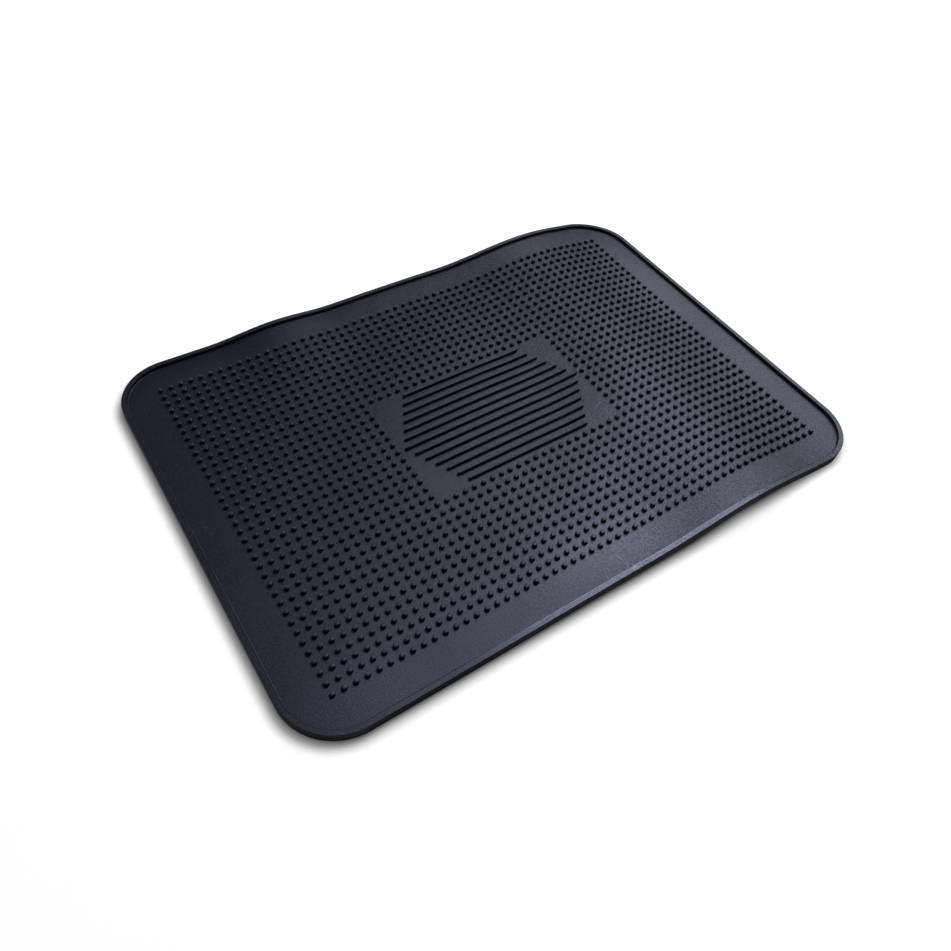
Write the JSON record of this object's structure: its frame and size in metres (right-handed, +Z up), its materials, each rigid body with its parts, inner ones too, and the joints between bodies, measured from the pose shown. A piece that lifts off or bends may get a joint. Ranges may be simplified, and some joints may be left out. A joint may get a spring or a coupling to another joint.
{
  "type": "seedling heat mat",
  "caption": "Flat rubber mat with a raised lip, round corners and a hexagon of ribs, over a serpentine heating cable, foil and foam layers and a junction tray.",
  "frame": {"origin": "on the floor, under the middle of the mat", "axes": "+X along the mat towards the cord's end, +Z up out of the ribbed face"},
  "size_m": [0.496, 0.347, 0.008],
  "materials": {
    "cover_rubber": "satin moulded black rubber",
    "base_rubber": "matt black rubber with a fine cloth impression",
    "gland_rubber": "matt black rubber",
    "foam": "closed-cell polyethylene foam",
    "film": "metallised polyester film",
    "scrim": "woven glass-fibre scrim",
    "cable_silicone": "red silicone insulation",
    "tape": "glass-cloth tape",
    "foil": "bright rolled foil",
    "crimp_metal": "tinned brass",
    "sleeve": "shrunk polyolefin",
    "lead_silicone": "white silicone insulation",
    "fuse_body": "moulded epoxy",
    "tray_plastic": "natural nylon"
  },
  "bodies": {
    "root": {"top_cover": "cover_rubber", "base_sheet": "base_rubber", "insulation_foam": "foam", "reflector_film": "film", "carrier_scrim": "scrim", "heating_cable": "cable_silicone", "cable_tapes": "tape", "lead_tapes": "tape", "heat_spreader": "foil", "splice_crimps": "crimp_metal", "splice_sleeves": "sleeve", "far_lead": "lead_silicone", "near_lead": "lead_silicone", "fuse_lead": "lead_silicone", "thermal_fuse": "fuse_body", "fuse_crimps": "crimp_metal", "cord_terminals": "crimp_metal", "junction_tray": "tray_plastic", "junction_lid": "tray_plastic", "cord_gland": "gland_rubber"}
  },
  "joints": []
}
